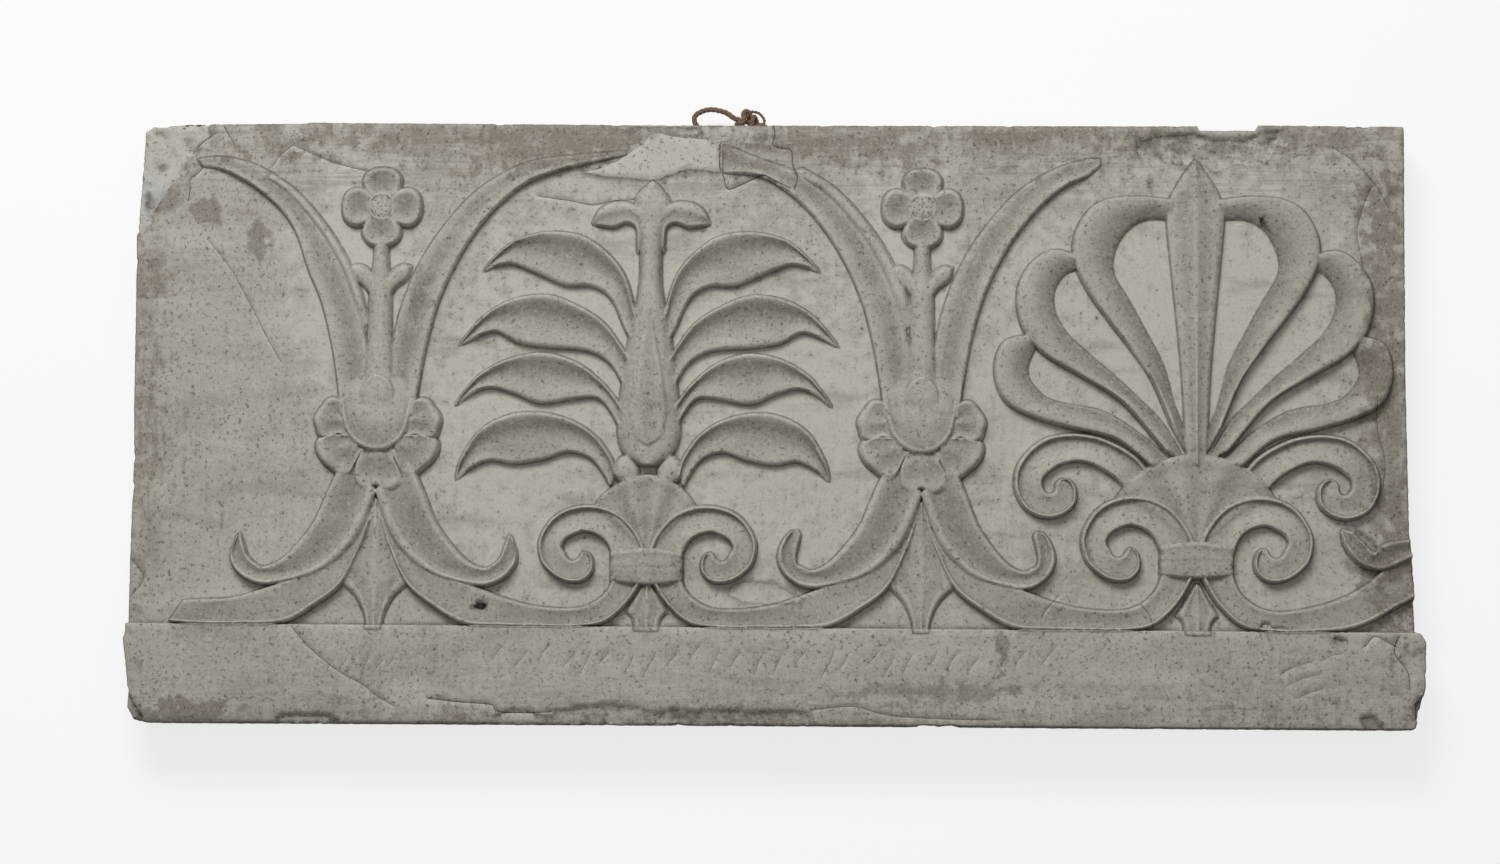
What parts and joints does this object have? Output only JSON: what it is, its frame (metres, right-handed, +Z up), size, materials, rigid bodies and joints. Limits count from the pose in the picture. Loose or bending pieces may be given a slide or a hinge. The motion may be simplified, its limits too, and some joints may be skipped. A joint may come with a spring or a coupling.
{
  "type": "bas-relief frieze cast",
  "caption": "Long plaster cast of a classical frieze: lotus flowers, a leafy plant and a palmette joined by scrolls in low relief above a plain band, with a rope hanging loop.",
  "frame": {"origin": "middle of the flat back face, where the cast meets the wall", "axes": "+Z up, +X along the frieze to the right as seen from in front, carved face towards -Y, back towards +Y"},
  "size_m": [1.165, 0.062, 0.5701],
  "materials": {
    "aged_plaster": null,
    "hemp_rope": "dark brown twisted hemp, rough and dusty"
  },
  "bodies": {
    "root": {"frieze_panel": "aged_plaster", "hanging_loop": "hemp_rope", "loop_knot": "hemp_rope"}
  },
  "joints": []
}
